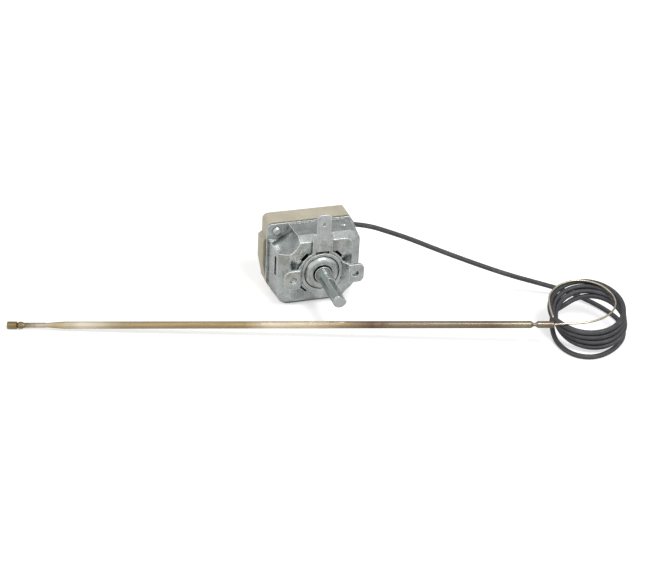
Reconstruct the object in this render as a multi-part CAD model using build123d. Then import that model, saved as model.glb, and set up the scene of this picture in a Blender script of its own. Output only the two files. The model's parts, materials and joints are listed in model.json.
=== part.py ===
"""Capillary thermostat for an oven: switch body with a turning spindle, a sleeved capillary wound
into a coil, and a long sensing bulb.

Millimetres. X to the right, +Z up, the spindle points along -Y to the user's side. The origin is
midway between the two fixing holes, in the front face of the fixing ears. Depths run along +Y.
"""
from build123d import *
from math import atan2, cos, pi, radians, sin, tan
import os

# Fixing ears and bracket sheet
FIXING_SPACING = 28.0        # centre to centre of the two threaded holes
FIXING_TAP_RADIUS = 1.65     # core of an M4 thread
EAR_HEIGHT = 8.7
EAR_END_MARGIN = 3.9         # from a hole centre to the end of its ear
EAR_CORNER = 2.4
EAR_COLLAR_WALL = 1.15
EAR_COLLAR_LENGTH = 1.3
EAR_FLAT_INNER = 11.1        # where the flat of an ear starts
EAR_STEP_RUN = 2.5           # how far the sloped step runs along X
BRACKET_SHEET = 1.2
BRACKET_DEPTH = 4.3          # front face of the bracket's plate behind the ears
BRACKET_DISC_RADIUS = 10.4
BRACKET_OPENING_RADIUS = 8.0
BRACKET_RIM_RADIUS = 9.2
BRACKET_RIM_HEIGHT = 0.4
BRACKET_LUG_ANGLES = (44.0, 135.0, 226.0, 321.0)
BRACKET_LUG_WIDTH = 3.7
BRACKET_LUG_LENGTH = 3.4
LUG_SLOT_CLEARANCE = 0.25
LUG_SLOT_GAP = 1.1           # open part of a slot outside its lug
NECK_WIDTH = 9.0
NECK_TOP = 18.8
NECK_WINDOW_WIDTH = 6.2
NECK_WINDOW_HEIGHT = 1.5
NECK_WINDOW_Z = 9.4

# Earth tab
EARTH_TAB_WIDTH = 6.3
EARTH_TAB_SHEET = 0.8
EARTH_TAB_TOP = 27.7
EARTH_TAB_OFFSET = 0.2
EARTH_TAB_HOLE_RADIUS = 0.85
EARTH_TAB_HOLE_DROP = 4.5    # from the tab's end to its detent hole
EARTH_TAB_CORNER = 1.2

# Can
CAN_SHEET = 0.8
CAN_WIDTH = 39.0
CAN_TOP = 16.6
CAN_BOTTOM = -16.6
CAN_CORNER = 5.5
CAN_DEPTH = 15.0             # from the can's front to its flange
CAN_BEVEL_DEPTH = 3.7
CAN_BEVEL_WIDTH = 4.6
CAN_BEVEL_TOP = 1.9
CAN_BEVEL_BOTTOM = 3.0
CAN_BEVEL_INSET = 0.6        # part of the sheet's thickness by which the inner bend lies deeper
CAN_DRAFT = 1.0              # each side wall leans out by this much
CAN_FRONT_CORNER = 3.5
CAN_FLANGE_SHEET = 0.9
CAN_FLANGE_LIP = 0.9
CAN_FLANGE_TOP_LIP = 0.5
CAN_FLANGE_CORNER = 2.5
CAN_FLANGE_CUT = (3.3, 5.5)  # run and drop of the slanted upper right and lower left corners
SCOOP_RADIUS = 8.7
SCOOP_TAPER = 1.2
SCOOP_CENTRE_INSET = 1.2     # of a scoop's middle from the can's side
SCOOP_CENTRE_RISE = 0.6      # of a scoop's middle beyond the can's top or bottom
SIDE_SLOT_DEPTH = 11.0
SIDE_SLOT_WIDTH = 2.3
SIDE_SLOT_BOTTOM = -3.4
SIDE_SLOT_TOP = 6.0

# Base
BASE_OVERHANG = 0.2          # of the base beyond the can's width on each side
BASE_TOP = 17.7
BASE_DEPTH = 10.1
BASE_CORNER = 2.4
BASE_CUT = (2.6, 4.2)        # run and drop of the slanted upper right and lower left corners
BASE_WALL = 3.4
BASE_LEDGE = 1.0             # the rail inside the walls that carries guide and terminals
BASE_POCKET_CORNER = 1.2
BASE_FLOOR = 2.2
BASE_REAR_EDGE = 0.9
BASE_BOSS_PROUD = 1.8
BASE_BOSS_TOP = 9.6
BASE_BOSS_FULL = (8.2, -2.5)  # heights between which the boss stands out fully
BASE_BOSS_BOTTOM = -11.5
BASE_BOSS_MARGIN = 1.2

# Rivets
RIVET_HEAD_RADIUS = 2.05
RIVET_HEAD_HEIGHT = 1.1
RIVET_HEAD_CROWN = 0.6       # part of a head's radius and height at its rounding
RIVET_SHANK_RADIUS = 1.2
RIVET_POST_RADIUS = 3.4
RIVET_INSET = (3.6, 3.1)     # from the can's side and from its top or bottom
TOP_RIVET_INSET = 6.9        # from the can's side
TOP_RIVET_DEPTH = 14.6
TOP_RIVET_RADIUS = 1.35
TOP_RIVET_HEIGHT = 0.5

# Bearing dome, bush and spindle
DOME_SHEET = 0.8
DOME_HEIGHT = 2.8
DOME_HOLE_RADIUS = 4.4
DOME_CROWN_RADIUS = 5.4
DOME_GAP = 0.1
BUSH_RADIUS = 3.8
BUSH_FRONT = 0.9             # how far the bush stands in front of the dome's crown
BUSH_FLANGE_RADIUS = 5.4
BUSH_FLANGE_SHEET = 1.2
SPINDLE_RADIUS = 3.0
SPINDLE_PROJECTION = 21.5    # from the ears' front face to the tip
SPINDLE_FLAT_LENGTH = 14.8
SPINDLE_FLAT_DEPTH = 1.4
SPINDLE_FLAT_ANGLE = 50.0    # direction the flat faces, from +X towards +Z
SPINDLE_TIP_CHAMFER = 0.5
JOURNAL_RADIUS = 3.2         # the spindle's thicker part in its bush
JOURNAL_PROUD = 0.3          # how far the thicker part stands in front of the bush
RUNNING_CLEARANCE = 0.05
SPINDLE_REAR = 6.8           # from the can's front to the rear end of the spindle
SPINDLE_SLOT_WIDTH = 1.6
SPINDLE_SLOT_DEPTH = 3.4
STOP_DISC_RADIUS = 7.4
STOP_DISC_SHEET = 1.0
STOP_TAB_REACH = 1.8
STOP_TAB_WIDTH = 2.0
STOP_TAB_ANGLE = 240.0       # at rest, from +X towards +Z
STOP_LUG_HALF_ANGLE = 21.0
STOP_LUG_GAP = 0.3
WASHER_RADIUS = 6.2
WASHER_SHEET = 0.3
WASHER_HEIGHT = 1.3

# Setting mechanism
SCREW_TRAVEL = 0.7           # over the whole turn of the spindle
SCREW_RADIUS = 2.5
SCREW_TIP_RADIUS = 1.4
SCREW_TANG_WIDTH = 4.6
SCREW_TANG_SHEET = 1.4
SCREW_HEAD_GAP = 0.4
BRIDGE_SHEET = 1.5
BRIDGE_HEIGHT = 10.0
BRIDGE_LEG_SHEET = 1.2
CAPSULE_RADIUS = 9.5
CAPSULE_THICKNESS = 1.8
CAPSULE_RIDGES = 3
CAPSULE_BOSS_RADIUS = 2.2
CAPSULE_BOSS_HEIGHT = 0.3
FACE_GAP = 0.1               # between pieces that push on each other
GUIDE_SHEET = 1.0
GUIDE_SEAT_CLEARANCE = 0.15
GUIDE_NOTCH_WIDTH = 4.2
GUIDE_NOTCH_HEIGHT = 6.0
PIN_RADIUS = 1.2
PIN_LENGTH = 4.8

# Contacts and terminals
BLADE_SHEET = 0.4
BLADE_WIDTH = 5.6
BLADE_PIVOT_INSET = 1.6      # of the hinge line inside its terminal
BLADE_ROLL_RADIUS = 0.5      # of the rolled end on the hinge line
BLADE_TIP_REACH = 1.9        # of the blade beyond the contact's middle
CONTACT_INSET = 4.5          # of the contact's middle inside its terminal
CONTACT_PLATE_REACH = 3.0    # of the terminal's plate beyond the contact's middle
CONTACT_RADIUS = 1.6
CONTACT_THICKNESS = 0.65
CONTACT_GAP = 1.4
TERMINAL_WIDTH = 6.3
TERMINAL_SHEET = 0.8
TERMINAL_LENGTH = 8.0
TERMINAL_INSET = 2.6         # of a terminal's middle inside the pocket's wall
TERMINAL_CORNER = 1.1
CALIBRATION_PLACE = 0.5      # along the blade from the spindle's axis to the hinge line
CALIBRATION_RADIUS = 1.5
CALIBRATION_PROUD = 0.7
CALIBRATION_SLOT = 0.5

# Capillary, sleeve and bulb
CAPILLARY_RADIUS = 0.5
SLEEVE_RADIUS = 1.0
EXIT_DEPTH = 3.3             # behind the base's front face
EXIT_Z = 10.7
EXIT_CLEARANCE = 0.1
COIL_CENTRE = (104.3, -43.7)
COIL_TOP_HEIGHT = 12.8       # of the top turn's centre line above the surface, at the coil's middle
COIL_RADIUS = 15.8
COIL_TURNS = 5.3
COIL_TILT = 11.5
COIL_TILT_BEARING = 30.6     # the line that the coil tilts about is turned this far from X
COIL_BEARING = 17.7          # direction in the coil's plane that its routes are measured along
BULB_RADIUS = 1.55
BULB_TIP = (-133.6, 16.6)
BULB_END = (84.5, -51.9, -5.0)
BULB_HEAD_LENGTH = 4.0
BULB_HEAD_WIDTH = 2.72
BULB_HEAD_CORNER = 0.55
BULB_BEAD_RADIUS = 1.5
BULB_BEAD_ROOT = 0.9
BULB_BEAD_END = 7.2
BULB_BEAD_BEVEL = 1.0
BULB_PINCH_START = 10.4
BULB_PINCH_END = 16.0
BULB_PINCH_RADIUS = 0.95
BULB_PINCH_SHEET = 1.1       # thickness of the flattened stretch between bead and pinch
BULB_TAPER_END = 24.0
BULB_NECK_RADIUS = 0.75
BULB_NECK_LENGTH = 1.9
BULB_NECK_TAPER = 1.0
BULB_SLEEVE_RADIUS = 1.45
BULB_END_SLEEVE = 6.6

# Places along the depth, worked out from the sizes above
BRACKET_REAR = BRACKET_DEPTH + BRACKET_SHEET
CAN_FRONT = BRACKET_REAR
CAN_INSIDE = CAN_FRONT + CAN_SHEET
CAN_SHOULDER = CAN_FRONT + CAN_BEVEL_DEPTH
FLANGE_FRONT = CAN_FRONT + CAN_DEPTH
BASE_FRONT = FLANGE_FRONT + CAN_FLANGE_SHEET
BASE_REAR = BASE_FRONT + BASE_DEPTH
FLOOR_FRONT = BASE_REAR - BASE_FLOOR
SURFACE = CAN_BOTTOM
DOME_FRONT = CAN_FRONT - DOME_HEIGHT
SPINDLE_END = CAN_FRONT + SPINDLE_REAR
BUSH_REAR = CAN_INSIDE + BUSH_FLANGE_SHEET
STOP_DISC_FRONT = BUSH_REAR + WASHER_HEIGHT + FACE_GAP
STOP_DISC_REAR = STOP_DISC_FRONT + STOP_DISC_SHEET
SCREW_HEAD_FRONT = SPINDLE_END + SCREW_TRAVEL + SCREW_HEAD_GAP
BRIDGE_FRONT = SCREW_HEAD_FRONT + SCREW_HEAD_GAP
BRIDGE_REAR = BRIDGE_FRONT + BRIDGE_SHEET
CAPSULE_REAR = BASE_FRONT - SCREW_HEAD_GAP - CAPSULE_BOSS_HEIGHT
CAPSULE_FRONT = CAPSULE_REAR - CAPSULE_THICKNESS
SCREW_TIP_REAR = CAPSULE_FRONT - CAPSULE_BOSS_HEIGHT - FACE_GAP
PIN_FRONT = CAPSULE_REAR + CAPSULE_BOSS_HEIGHT + FACE_GAP / 2
PIN_REAR = PIN_FRONT + PIN_LENGTH
BLADE_FRONT = PIN_REAR + FACE_GAP
BLADE_REAR = BLADE_FRONT + BLADE_SHEET
RAIL_FRONT = BASE_FRONT + GUIDE_SHEET
RAIL_REAR = RAIL_FRONT + TERMINAL_SHEET
CAN_HALF_HEIGHT = (CAN_TOP - CAN_BOTTOM) / 2
CAN_MIDDLE = (CAN_TOP + CAN_BOTTOM) / 2
BASE_HALF = CAN_WIDTH / 2 + BASE_OVERHANG
POCKET_HALF = BASE_HALF - BASE_WALL
POCKET_TOP = BASE_TOP - BASE_WALL
POCKET_BOTTOM = CAN_BOTTOM + BASE_WALL
RIVET_X = CAN_WIDTH / 2 - RIVET_INSET[0]
RIVET_RISE = CAN_HALF_HEIGHT - RIVET_INSET[1]
TERMINAL_X = POCKET_HALF - TERMINAL_INSET
TERMINAL_END = BASE_REAR + TERMINAL_LENGTH
CONTACT_X = TERMINAL_X - CONTACT_INSET
BLADE_PIVOT_X = BLADE_PIVOT_INSET - TERMINAL_X
CALIBRATION_X = BLADE_PIVOT_X * CALIBRATION_PLACE


def facing(depth):
    """Plane across the spindle at a depth: its x is X and its y is Z."""
    return Plane(origin=(0, depth, 0), x_dir=(1, 0, 0), z_dir=(0, -1, 0))


def slab(outline, front, rear):
    """A flat outline given thickness between two depths."""
    return extrude(facing(rear) * outline, amount=rear - front)


def block(left, right, front, rear, bottom, top):
    """A box between six limits."""
    centre = ((left + right) / 2, (front + rear) / 2, (bottom + top) / 2)
    return Pos(*centre) * Box(right - left, rear - front, top - bottom)


def rod(radius, front, rear, x=0.0, z=0.0):
    """A round bar along the depth."""
    return slab(Pos(x, z) * Circle(radius), front, rear)


def turned(profile):
    """A closed outline of (radius, depth) points turned about the spindle's axis."""
    return revolve(make_face(Polyline(*profile, close=True)), Axis.Y, 360)


def rounded(width, bottom, top, corner):
    """A rounded rectangle about X = 0 between two heights."""
    return Pos(0, (bottom + top) / 2) * RectangleRounded(width, top - bottom, corner)


def slanted(width, bottom, top, corner, cut):
    """A rounded rectangle whose upper right and lower left corners are cut off at a slant."""
    outline = rounded(width, bottom, top, corner)
    run, drop = cut
    for side, height in ((1, top), (-1, bottom)):
        x = side * width / 2
        outline -= make_face(Polyline((x, height), (x - side * run, height), (x, height - side * drop), close=True))
    return outline


def rivet_place(side):
    """Middle of a corner rivet in the X-Z plane; side is -1 at the upper left, 1 at the lower right."""
    return side * RIVET_X, CAN_MIDDLE - side * RIVET_RISE


# Can with its bevelled front, two scooped corners and flange

def can_body(inset):
    """The can's form, drawn inwards by a wall thickness."""
    front = CAN_FRONT + inset
    shoulder = CAN_SHOULDER + inset * CAN_BEVEL_INSET
    half = CAN_WIDTH / 2 - inset
    narrow = half - CAN_DRAFT
    bottom, top = CAN_BOTTOM + inset, CAN_TOP - inset
    rear = FLANGE_FRONT + (CAN_FLANGE_SHEET if inset else 0)
    sections = [
        facing(front) * rounded(2 * (narrow - CAN_BEVEL_WIDTH), bottom + CAN_BEVEL_BOTTOM,
                                top - CAN_BEVEL_TOP, CAN_FRONT_CORNER - inset),
        facing(shoulder) * rounded(2 * narrow, bottom, top, CAN_CORNER - inset),
        facing(rear) * rounded(2 * half, bottom, top, CAN_CORNER - inset),
    ]
    return loft(sections, ruled=True)


def scoop(side, wall):
    """The tapered round recess of one corner; side is -1 at the upper left, 1 at the lower right."""
    place = Pos(side * (CAN_WIDTH / 2 - SCOOP_CENTRE_INSET), CAN_MIDDLE - side * (CAN_HALF_HEIGHT + SCOOP_CENTRE_RISE))
    narrow, wide = SCOOP_RADIUS - SCOOP_TAPER + wall, SCOOP_RADIUS + wall
    rear = FLANGE_FRONT + (CAN_FLANGE_SHEET if wall else 0)
    return loft([facing(CAN_FRONT) * place * Circle(wide), facing(rear) * place * Circle(narrow)])


def lug_slot(angle):
    """One slot in the can's front for a lug at this angle."""
    inner = BRACKET_DISC_RADIUS - BRACKET_SHEET - LUG_SLOT_CLEARANCE
    half = BRACKET_LUG_WIDTH / 2 + LUG_SLOT_CLEARANCE
    cutter = block(inner, BRACKET_DISC_RADIUS + LUG_SLOT_GAP, CAN_FRONT, CAN_INSIDE, -half, half)
    return Rot(0, -angle, 0) * cutter


def stop_lug():
    """The stop pressed inwards from the can's front, which the stop disc's tab meets at each end."""
    half = radians(STOP_LUG_HALF_ANGLE)
    inner, outer = STOP_DISC_RADIUS + STOP_LUG_GAP, STOP_DISC_RADIUS + STOP_TAB_REACH + STOP_LUG_GAP
    ring = rod(outer, CAN_INSIDE, STOP_DISC_REAR) - rod(inner, CAN_INSIDE, STOP_DISC_REAR)
    reach = 2 * outer
    wedge = facing(STOP_DISC_REAR) * make_face(Polyline(
        (0, 0), (-reach * sin(half), -reach * cos(half)), (reach * sin(half), -reach * cos(half)), close=True))
    return ring & extrude(wedge, amount=STOP_DISC_REAR - CAN_INSIDE)


def make_can():
    outside = can_body(0) - scoop(-1, 0) - scoop(1, 0)
    inside = can_body(CAN_SHEET) - scoop(-1, CAN_SHEET) - scoop(1, CAN_SHEET)
    lip = slanted(CAN_WIDTH + 2 * CAN_FLANGE_LIP, CAN_BOTTOM, CAN_TOP + CAN_FLANGE_TOP_LIP, CAN_FLANGE_CORNER,
                  CAN_FLANGE_CUT)
    can = outside + slab(lip, FLANGE_FRONT, BASE_FRONT) - inside
    can -= rod(BUSH_RADIUS, CAN_FRONT, CAN_INSIDE)
    for angle in BRACKET_LUG_ANGLES:
        can -= lug_slot(angle)
    can -= block(-CAN_WIDTH, 0, SIDE_SLOT_DEPTH, SIDE_SLOT_DEPTH + SIDE_SLOT_WIDTH, SIDE_SLOT_BOTTOM, SIDE_SLOT_TOP)
    for side in (-1, 1):
        can -= rod(RIVET_SHANK_RADIUS, FLANGE_FRONT, BASE_FRONT, *rivet_place(side))
    can -= Pos(CAN_WIDTH / 2 - TOP_RIVET_INSET, TOP_RIVET_DEPTH, CAN_TOP) * Cylinder(TOP_RIVET_RADIUS / 2, 4 * CAN_SHEET)
    return can + stop_lug()


def make_corner_rivet(side):
    """Rivet through the flange and the base; side is -1 at the upper left, 1 at the lower right."""
    x, z = rivet_place(side)
    half_head = RIVET_HEAD_RADIUS * RIVET_HEAD_CROWN
    front = FLANGE_FRONT - RIVET_HEAD_HEIGHT
    head = revolve(make_face(Polyline(
        (0, front), (half_head, front), (RIVET_HEAD_RADIUS, front + RIVET_HEAD_HEIGHT * RIVET_HEAD_CROWN),
        (RIVET_HEAD_RADIUS, FLANGE_FRONT), (RIVET_SHANK_RADIUS, FLANGE_FRONT), (RIVET_SHANK_RADIUS, BASE_REAR),
        (RIVET_HEAD_RADIUS, BASE_REAR), (half_head, BASE_REAR + RIVET_HEAD_HEIGHT),
        (0, BASE_REAR + RIVET_HEAD_HEIGHT), close=True)), Axis.Y, 360)
    return Pos(x, 0, z) * head


def make_top_rivet():
    """Small rivet in the can's top wall."""
    profile = Polyline((0, -CAN_SHEET), (TOP_RIVET_RADIUS / 2, -CAN_SHEET), (TOP_RIVET_RADIUS / 2, 0),
                       (TOP_RIVET_RADIUS, 0), (TOP_RIVET_RADIUS * RIVET_HEAD_CROWN, TOP_RIVET_HEIGHT), (0, TOP_RIVET_HEIGHT),
                       close=True)
    turned_rivet = revolve(Plane.XZ * make_face(profile), Axis.Z, 360)
    return Pos(CAN_WIDTH / 2 - TOP_RIVET_INSET, TOP_RIVET_DEPTH, CAN_TOP) * turned_rivet


# Bracket with its ears, neck and earth tab

def ear_strip():
    """The bent strip that carries both ears forwards of the plate."""
    angle = atan2(BRACKET_DEPTH, EAR_STEP_RUN)
    shift = BRACKET_SHEET * tan(angle / 2)
    foot = EAR_FLAT_INNER - EAR_STEP_RUN
    end = FIXING_SPACING / 2 + EAR_END_MARGIN
    half = Polyline((0, BRACKET_DEPTH), (foot, BRACKET_DEPTH), (EAR_FLAT_INNER, 0), (end, 0), (end, BRACKET_SHEET),
                    (EAR_FLAT_INNER + shift, BRACKET_SHEET), (foot + shift, BRACKET_REAR), (0, BRACKET_REAR), close=True)
    profile = Pos(0, 0, -EAR_HEIGHT / 2) * make_face(half)
    right = extrude(profile, amount=EAR_HEIGHT)
    right = fillet(right.edges().filter_by(Axis.Y).group_by(Axis.X)[-1], EAR_CORNER)
    return right + mirror(right, Plane.YZ)


def make_bracket():
    disc = Circle(BRACKET_DISC_RADIUS) + Pos(0, NECK_TOP / 2) * Rectangle(NECK_WIDTH, NECK_TOP)
    plate = slab(disc, BRACKET_DEPTH, BRACKET_REAR) + ear_strip()
    plate += slab(Circle(BRACKET_RIM_RADIUS), BRACKET_DEPTH - BRACKET_RIM_HEIGHT, BRACKET_DEPTH)
    plate -= rod(BRACKET_OPENING_RADIUS, BRACKET_DEPTH - BRACKET_RIM_HEIGHT, BRACKET_REAR)
    plate -= slab(Pos(0, NECK_WINDOW_Z) * Rectangle(NECK_WINDOW_WIDTH, NECK_WINDOW_HEIGHT), BRACKET_DEPTH, BRACKET_REAR)
    half = BRACKET_LUG_WIDTH / 2
    for angle in BRACKET_LUG_ANGLES:
        lug = block(BRACKET_DISC_RADIUS - BRACKET_SHEET, BRACKET_DISC_RADIUS, BRACKET_DEPTH,
                    BRACKET_DEPTH + BRACKET_LUG_LENGTH, -half, half)
        plate += Rot(0, -angle, 0) * lug
    tab_rear = BRACKET_DEPTH + EARTH_TAB_SHEET
    half_tab = EARTH_TAB_WIDTH / 2
    outline = Polyline(
        (-half_tab, NECK_TOP), (half_tab, NECK_TOP), (half_tab, EARTH_TAB_TOP - EARTH_TAB_CORNER),
        (half_tab - EARTH_TAB_CORNER, EARTH_TAB_TOP), (EARTH_TAB_CORNER - half_tab, EARTH_TAB_TOP),
        (-half_tab, EARTH_TAB_TOP - EARTH_TAB_CORNER), close=True)
    tab = make_face(outline) - Pos(0, EARTH_TAB_TOP - EARTH_TAB_HOLE_DROP) * Circle(EARTH_TAB_HOLE_RADIUS)
    plate += slab(Pos(EARTH_TAB_OFFSET, 0) * tab, BRACKET_DEPTH, tab_rear)
    for side in (-1, 1):
        x = side * FIXING_SPACING / 2
        plate += rod(FIXING_TAP_RADIUS + EAR_COLLAR_WALL, BRACKET_SHEET, BRACKET_SHEET + EAR_COLLAR_LENGTH, x)
        plate -= rod(FIXING_TAP_RADIUS, 0, BRACKET_SHEET + EAR_COLLAR_LENGTH, x)
    return plate


# Bearing and spindle

def make_dome():
    outer = BRACKET_OPENING_RADIUS - DOME_GAP
    crown_rear = DOME_FRONT + DOME_SHEET
    front = ThreePointArc((outer, CAN_FRONT - DOME_SHEET), (outer - 0.55, DOME_FRONT + 0.75),
                          (DOME_CROWN_RADIUS, DOME_FRONT))
    rear = ThreePointArc((DOME_CROWN_RADIUS, crown_rear), (outer - DOME_SHEET - 0.5, crown_rear + 0.55),
                         (outer - DOME_SHEET, CAN_FRONT))
    rest = [
        Polyline((DOME_CROWN_RADIUS, DOME_FRONT), (DOME_HOLE_RADIUS, DOME_FRONT), (DOME_HOLE_RADIUS, crown_rear),
                 (DOME_CROWN_RADIUS, crown_rear)),
        Polyline((outer - DOME_SHEET, CAN_FRONT), (outer, CAN_FRONT), (outer, CAN_FRONT - DOME_SHEET)),
    ]
    return revolve(make_face(Curve() + [front, rear] + rest), Axis.Y, 360)


def make_bush():
    bore = JOURNAL_RADIUS + RUNNING_CLEARANCE
    front = DOME_FRONT - BUSH_FRONT
    return turned([(bore, front), (BUSH_RADIUS, front), (BUSH_RADIUS, CAN_INSIDE), (BUSH_FLANGE_RADIUS, CAN_INSIDE),
                   (BUSH_FLANGE_RADIUS, BUSH_REAR), (bore, BUSH_REAR)])


def make_spindle():
    tip = -SPINDLE_PROJECTION
    shoulder = DOME_FRONT - BUSH_FRONT - JOURNAL_PROUD
    spindle = turned([(0, tip), (SPINDLE_RADIUS - SPINDLE_TIP_CHAMFER, tip),
                      (SPINDLE_RADIUS, tip + SPINDLE_TIP_CHAMFER), (SPINDLE_RADIUS, shoulder), (JOURNAL_RADIUS, shoulder),
                      (JOURNAL_RADIUS, SPINDLE_END), (0, SPINDLE_END)])
    flat = block(SPINDLE_RADIUS - SPINDLE_FLAT_DEPTH, 2 * SPINDLE_RADIUS, tip, tip + SPINDLE_FLAT_LENGTH,
                 -SPINDLE_RADIUS, SPINDLE_RADIUS)
    spindle -= Rot(0, -SPINDLE_FLAT_ANGLE, 0) * flat
    half = SPINDLE_SLOT_WIDTH / 2
    return spindle - block(-JOURNAL_RADIUS, JOURNAL_RADIUS, SPINDLE_END - SPINDLE_SLOT_DEPTH, SPINDLE_END, -half, half)


def make_stop_disc():
    reach = STOP_DISC_RADIUS + STOP_TAB_REACH
    disc = rod(STOP_DISC_RADIUS, STOP_DISC_FRONT, STOP_DISC_REAR)
    tab = block(0, reach, STOP_DISC_FRONT, STOP_DISC_REAR, -STOP_TAB_WIDTH / 2, STOP_TAB_WIDTH / 2)
    return disc + Rot(0, -STOP_TAB_ANGLE, 0) * tab - rod(JOURNAL_RADIUS, STOP_DISC_FRONT, STOP_DISC_REAR)


def make_washer():
    inner = JOURNAL_RADIUS + 4 * RUNNING_CLEARANCE
    front, rear = STOP_DISC_FRONT - WASHER_HEIGHT, STOP_DISC_FRONT
    return turned([(inner, rear - WASHER_SHEET), (inner, rear), (WASHER_RADIUS, front + WASHER_SHEET),
                   (WASHER_RADIUS, front)])


# Setting mechanism

def make_screw():
    shank_rear = SCREW_TIP_REAR - SCREW_TIP_RADIUS * 0.6
    screw = turned([(0, SCREW_HEAD_FRONT), (SCREW_RADIUS, SCREW_HEAD_FRONT), (SCREW_RADIUS, shank_rear),
                    (SCREW_TIP_RADIUS, SCREW_TIP_REAR), (0, SCREW_TIP_REAR)])
    tang_front = SPINDLE_END - SPINDLE_SLOT_DEPTH + SCREW_TRAVEL + SCREW_HEAD_GAP
    half_tang, half_sheet = SCREW_TANG_WIDTH / 2, SCREW_TANG_SHEET / 2
    return screw + block(-half_tang, half_tang, tang_front, SCREW_HEAD_FRONT, -half_sheet, half_sheet)


def make_bridge():
    outer = CAN_WIDTH / 2 - CAN_SHEET - CAN_DRAFT
    half = BRIDGE_HEIGHT / 2
    bridge = block(-outer, outer, BRIDGE_FRONT, BRIDGE_REAR, -half, half)
    for side in (-1, 1):
        edges = sorted((side * outer, side * (outer - BRIDGE_LEG_SHEET)))
        bridge += block(edges[0], edges[1], BRIDGE_FRONT, BASE_FRONT, -half, half)
    return bridge - rod(SCREW_RADIUS + RUNNING_CLEARANCE, BRIDGE_FRONT, BRIDGE_REAR)


def make_capsule():
    """Two ridged discs joined at the rim, with a boss at the middle of each face."""
    step = (CAPSULE_RADIUS - CAPSULE_BOSS_RADIUS) / (2 * CAPSULE_RIDGES + 1)
    ridge = CAPSULE_BOSS_HEIGHT / 2
    front = [(0, CAPSULE_FRONT - CAPSULE_BOSS_HEIGHT), (CAPSULE_BOSS_RADIUS, CAPSULE_FRONT - CAPSULE_BOSS_HEIGHT)]
    for index in range(2 * CAPSULE_RIDGES + 1):
        raised = ridge if index % 2 else 0
        front.append((CAPSULE_BOSS_RADIUS + (index + 0.5) * step, CAPSULE_FRONT - raised))
    rear = [(radius, CAPSULE_FRONT + CAPSULE_REAR - depth) for radius, depth in reversed(front)]
    rim = [(CAPSULE_RADIUS, CAPSULE_FRONT + ridge), (CAPSULE_RADIUS, CAPSULE_REAR - ridge)]
    return turned(front + rim + rear)


def make_guide():
    clearance = GUIDE_SEAT_CLEARANCE
    outline = rounded(2 * (POCKET_HALF - clearance), POCKET_BOTTOM + clearance, POCKET_TOP - clearance,
                      BASE_POCKET_CORNER)
    for side in (-1, 1):
        outline -= Pos(*rivet_place(side)) * Circle(RIVET_POST_RADIUS + clearance)
    outline -= Pos(POCKET_HALF, EXIT_Z) * Rectangle(2 * GUIDE_NOTCH_WIDTH, GUIDE_NOTCH_HEIGHT)
    return slab(outline - Circle(PIN_RADIUS + RUNNING_CLEARANCE), BASE_FRONT, RAIL_FRONT)


def make_pin():
    nose = PIN_RADIUS * 0.5
    return turned([(0, PIN_FRONT), (nose, PIN_FRONT), (PIN_RADIUS, PIN_FRONT + nose), (PIN_RADIUS, PIN_REAR - nose),
                   (nose, PIN_REAR), (0, PIN_REAR)])


# Contacts and terminals

def make_blade():
    """The contact blade with its rolled end, whose middle is the hinge line."""
    half = BLADE_WIDTH / 2
    leaf = block(BLADE_PIVOT_X, CONTACT_X + BLADE_TIP_REACH, BLADE_FRONT, BLADE_REAR, -half, half)
    return leaf + Pos(BLADE_PIVOT_X, (BLADE_FRONT + BLADE_REAR) / 2, 0) * Cylinder(BLADE_ROLL_RADIUS, BLADE_WIDTH)


def make_contact(front, rear):
    """A silver contact with a rounded edge."""
    return fillet(rod(CONTACT_RADIUS, front, rear, CONTACT_X).edges(), CONTACT_THICKNESS * 0.3)


def terminal(side, plate_edge, plate_front):
    """A flat terminal: a plate inside the base, bent to the rear into a plug-on blade."""
    outer = side * (TERMINAL_X + TERMINAL_SHEET / 2)
    inner = side * (TERMINAL_X - TERMINAL_SHEET / 2)
    half = TERMINAL_WIDTH / 2
    left, right = sorted((outer, plate_edge))
    plate = block(left, right, plate_front, plate_front + TERMINAL_SHEET, -half, half)
    left, right = sorted((outer, inner))
    blade = block(left, right, plate_front, TERMINAL_END, -half, half)
    corners = [edge for edge in blade.edges().filter_by(Axis.X) if edge.center().Y > TERMINAL_END - 0.01]
    return plate + chamfer(corners, TERMINAL_CORNER)


def make_calibrating_screw():
    rear = BASE_REAR + CALIBRATION_PROUD
    screw = rod(CALIBRATION_RADIUS, BLADE_REAR + 2 * CALIBRATION_SLOT, rear, CALIBRATION_X)
    slot = block(CALIBRATION_X - CALIBRATION_RADIUS, CALIBRATION_X + CALIBRATION_RADIUS, rear - CALIBRATION_SLOT, rear,
                 -CALIBRATION_SLOT / 2, CALIBRATION_SLOT / 2)
    return screw - slot


# Moulded base

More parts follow.
